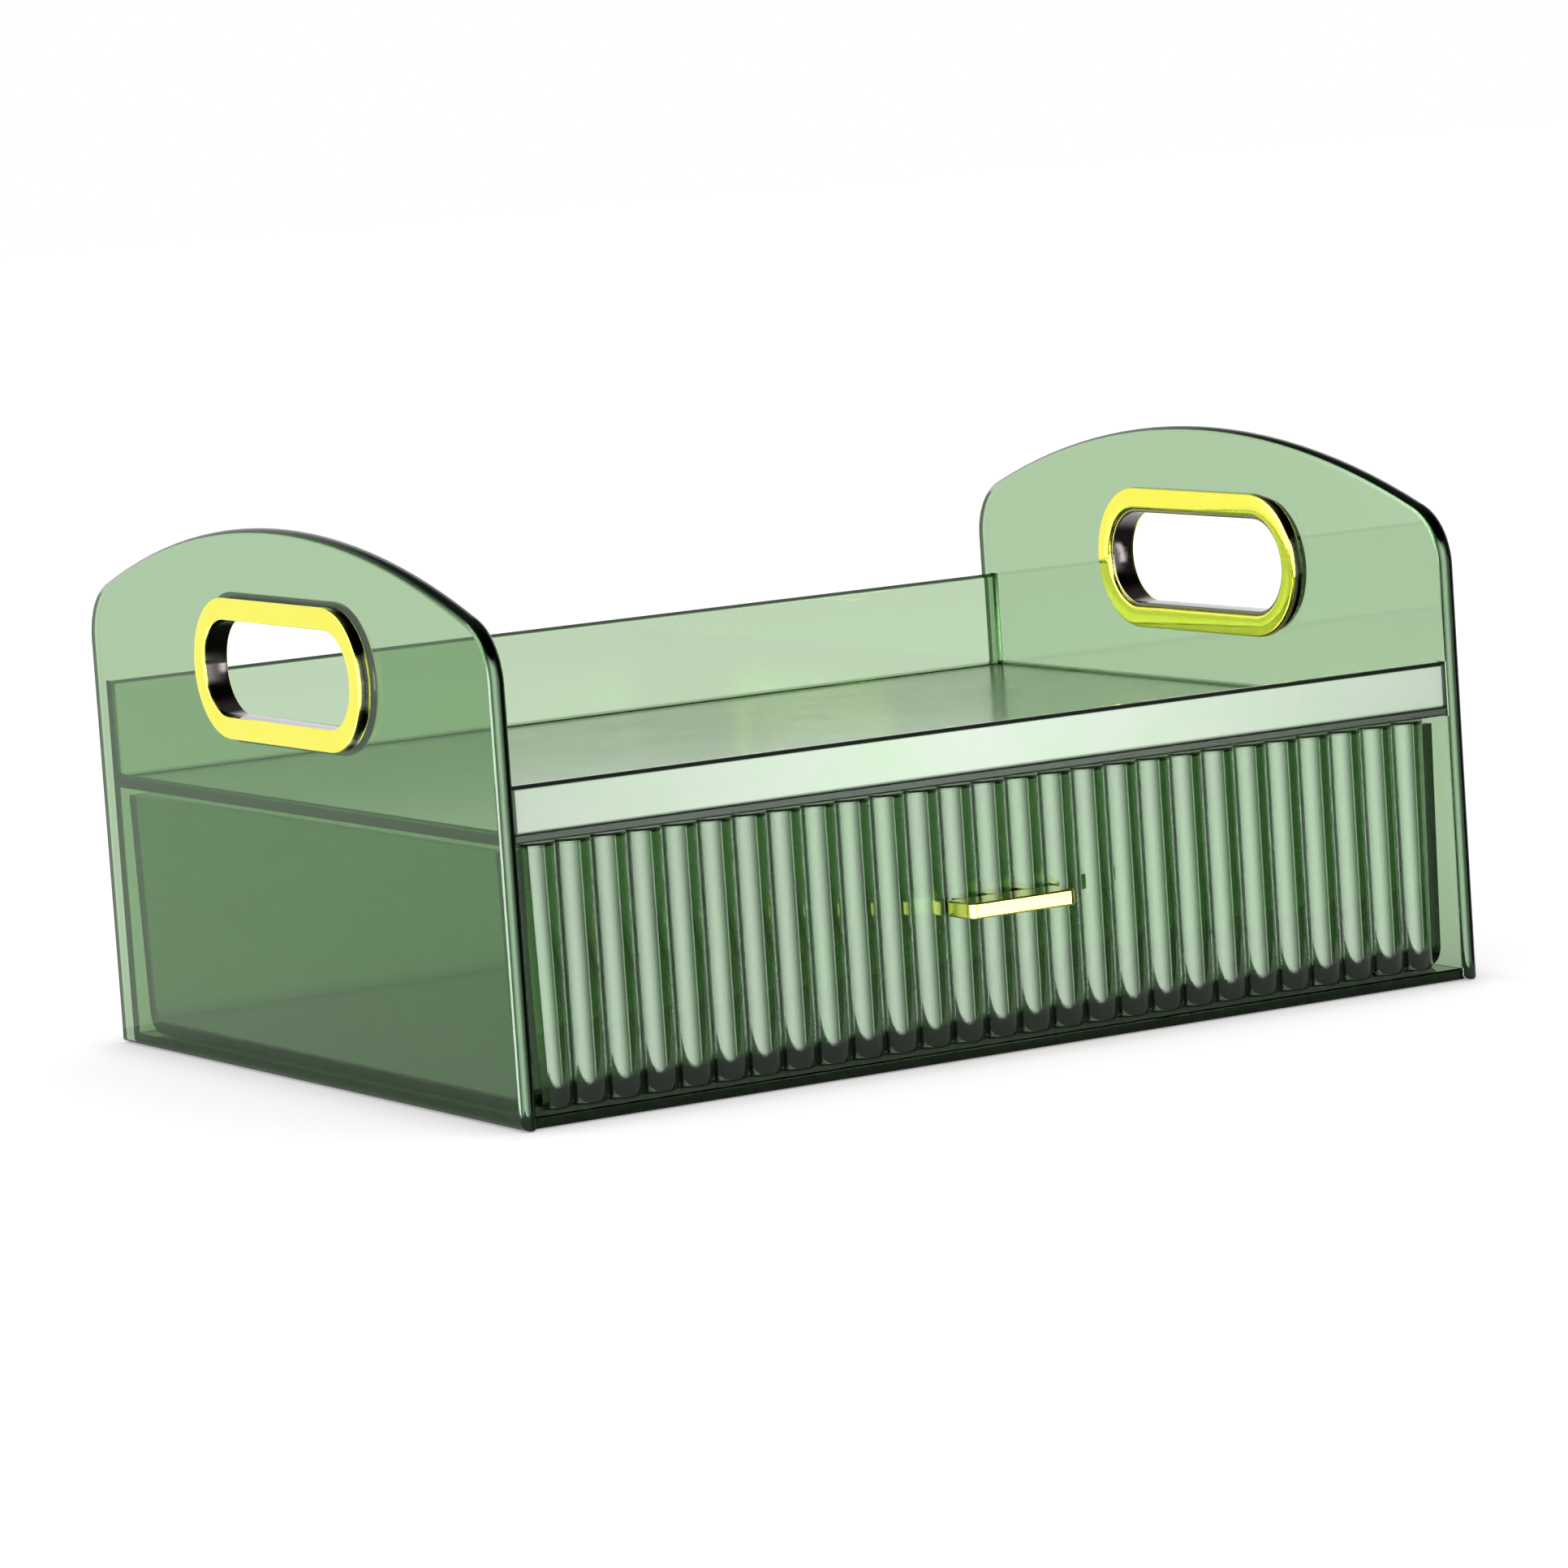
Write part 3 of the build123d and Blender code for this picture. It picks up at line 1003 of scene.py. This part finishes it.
class STORAGE_BOX_OT_pull(bpy.types.Operator):
    """Dress the drawer's pull and build its screws"""

    bl_idname = "storage_box.pull"
    bl_label = "Pull and Screws"

    def execute(self, context):
        look = context.scene.storage_box.gilding
        dress("drawer_handle", gilt("polished_pull_gilt", look.pull, look.pull_pale, look.pull_haze))
        head_radius = (screws_high.z - screws_low.z) / 2
        seat = screws_high.y - look.head_height
        sizes = {
            "Spacing": screws_high.x - screws_low.x - 2 * head_radius,
            "Head Radius": head_radius,
            "Head Height": look.head_height,
            "Shank Radius": look.shank_radius,
            "Shank Length": seat - screws_low.y,
            "Thread Pitch": look.thread_pitch,
            "Recess Length": RECESS_LENGTH_SHARE * head_radius,
            "Recess Width": RECESS_WIDTH_SHARE * head_radius,
            "Recess Depth": RECESS_DEPTH_SHARE * look.head_height,
            "Material": plated_steel("plated_screw_steel", look),
        }
        middle = Vector((0, seat, (screws_low.z + screws_high.z) / 2))
        place = Matrix.Translation(middle) @ Matrix.Rotation(-math.pi / 2, 4, "X")
        piece = grown_piece("pull_screws", screw_tree(sizes), sizes, place)
        settle(piece, "drawer", "screw_steel", "drawer_handle_screws")
        return {"FINISHED"}


class STORAGE_BOX_OT_stage(bpy.types.Operator):
    """Set the floor, the light and the camera"""

    bl_idname = "storage_box.stage"
    bl_label = "Stage"

    def execute(self, context):
        stage = context.scene.storage_box.stage
        self.lay_floor(context, stage)
        self.light(context)
        self.aim_camera(context, stage)
        context.scene.view_settings.view_transform = "Standard"
        for kind, most in BOUNCES.items():
            setattr(context.scene.cycles, kind, most)
        return {"FINISHED"}

    def lay_floor(self, context, stage):
        """A wide pale floor that is white to the eye and keeps the box's soft shadow, with a painted shadow where its
        white glow fades near and under the box.
        """
        mesh = bpy.data.meshes.new("floor")
        reach, low = stage.floor_reach, -stage.floor_drop
        corners = [(x * reach, y * reach, low) for x, y in ((-1, -1), (1, -1), (1, 1), (-1, 1))]
        mesh.from_pydata(corners, [], [(0, 1, 2, 3)])
        floor = bpy.data.objects.new("floor", mesh)
        context.scene.collection.objects.link(floor)
        material, wire, shader = new_material("pale_floor")
        direct, through, mirrored = ray_kinds(wire)
        x, y, z = parts_of(wire, wire.node("ShaderNodeTexCoord", output="Object"))
        clear_of_box = (abs(x) - panel_high.x).most(abs(y) - panel_high.y)
        # Painted shadow: the glow seen by the camera and through clear pieces fades near the box and is low under it
        seen = direct * ramp(wire, clear_of_box, *FLOOR_SEEN, UNDER_BOX)
        seen_through = (1 - direct) * through * ramp(wire, clear_of_box, *FLOOR_THROUGH, UNDER_BOX)
        glow = stage.floor_glow * (seen + seen_through)
        feed(wire, shader, Base_Color=rgba(stage.floor), Roughness=1.0, Specular_IOR_Level=0.0)
        feed(wire, shader, Emission_Color=point(wire, glow, glow, glow), Emission_Strength=1.0)
        open_air = mirrored * ramp(wire, clear_of_box, *FLOOR_OPEN)
        air = wire.node("ShaderNodeBsdfTransparent")
        solid = Wire(wire.tree, shader.outputs[0])
        surface = wire.node("ShaderNodeMixShader", None, {0: open_air, 1: solid, 2: air})
        wire.tree.links.new(surface.socket, wire.tree.nodes["Material Output"].inputs["Surface"])
        mesh.materials.append(material)

    def light(self, context):
        """An even white surround, with a dark ceiling and soft boxes in front that only reflections show."""
        world = bpy.data.worlds.new("white_surround")
        world.use_nodes = True
        wire = Wire(world.node_tree)
        direct, through, mirrored = ray_kinds(wire)
        x, y, z = parts_of(wire, wire.node("ShaderNodeTexCoord", output="Generated"))
        turn = x.maths("DEGREES", x.maths("ARCTAN2", x, -y))
        lift = z.maths("DEGREES", z.maths("ARCSINE", z))

        def between(value, low, high, soft):
            """1 between two values and 0 outside them, with soft ends."""
            past_low = ramp(wire, value, low - soft, low + soft)
            past_high = ramp(wire, value, high - soft, high + soft)
            return past_low * (1 - past_high)

        ceiling = ramp(wire, lift, *CEILING_EDGE, 1.0, CEILING_LIGHT)
        backdrop = ramp(wire, y, *BACKDROP_EDGE, FRONT_LIGHT, 1.0)
        front, strip, side = (
            strength * between(turn, *across) * between(lift, *up) for strength, across, up in SOFT_BOXES.values()
        )
        shown = 1 - (through + mirrored) * (1 - backdrop * ceiling) + mirrored * (front + strip + side)
        background = world.node_tree.nodes["Background"]
        wire.tree.links.new(point(wire, shown, shown, shown).socket, background.inputs["Color"])
        context.scene.world = world

    def aim_camera(self, context, stage):
        """The photograph's view."""
        camera = bpy.data.objects.new("camera", bpy.data.cameras.new("camera"))
        context.scene.collection.objects.link(camera)
        aim = Euler((math.pi / 2 - stage.elevation, 0, stage.azimuth)).to_matrix()
        turn = aim @ Matrix.Rotation(stage.roll, 3, "Z")
        place = Vector(stage.target) + turn @ Vector((0, 0, stage.distance))
        camera.matrix_world = Matrix.Translation(place) @ turn.to_4x4()
        camera.data.lens = stage.lens
        camera.data.sensor_width = SENSOR_WIDTH
        camera.data.clip_end = CLIP_END
        context.scene.camera = camera


PIECE_OPERATORS = (
    STORAGE_BOX_OT_clear_case,
    STORAGE_BOX_OT_hand_hole_trim,
    STORAGE_BOX_OT_fluted_front,
    STORAGE_BOX_OT_bond_beads,
    STORAGE_BOX_OT_drawer_tub,
    STORAGE_BOX_OT_pull,
    STORAGE_BOX_OT_stage,
)


class STORAGE_BOX_PT_sidebar(bpy.types.Panel):
    """Lists the box's pieces and their settings"""

    bl_label = "Storage Box"
    bl_idname = "STORAGE_BOX_PT_sidebar"
    bl_space_type = "VIEW_3D"
    bl_region_type = "UI"
    bl_category = "Storage Box"

    def draw(self, context):
        settings = context.scene.storage_box
        for group in (settings.plastic, settings.gilding, settings.fluted_front, settings.stage):
            box = self.layout.box()
            box.label(text=group.bl_rna.description)
            for name in group.__annotations__:
                box.prop(group, name)
        for operator in PIECE_OPERATORS:
            self.layout.operator(operator.bl_idname)


CLASSES = (
    PlasticSettings,
    GiltSettings,
    FlutedFrontSettings,
    StageSettings,
    StorageBoxSettings,
    *PIECE_OPERATORS,
    STORAGE_BOX_PT_sidebar,
)


def register():
    for one in CLASSES:
        bpy.utils.register_class(one)
    bpy.types.Scene.storage_box = PointerProperty(type=StorageBoxSettings)


def unregister():
    del bpy.types.Scene.storage_box
    for one in reversed(CLASSES):
        bpy.utils.unregister_class(one)


def main():
    register()
    for operator in PIECE_OPERATORS:
        group, name = operator.bl_idname.split(".")
        getattr(getattr(bpy.ops, group), name)()


if __name__ == "__main__":
    main()
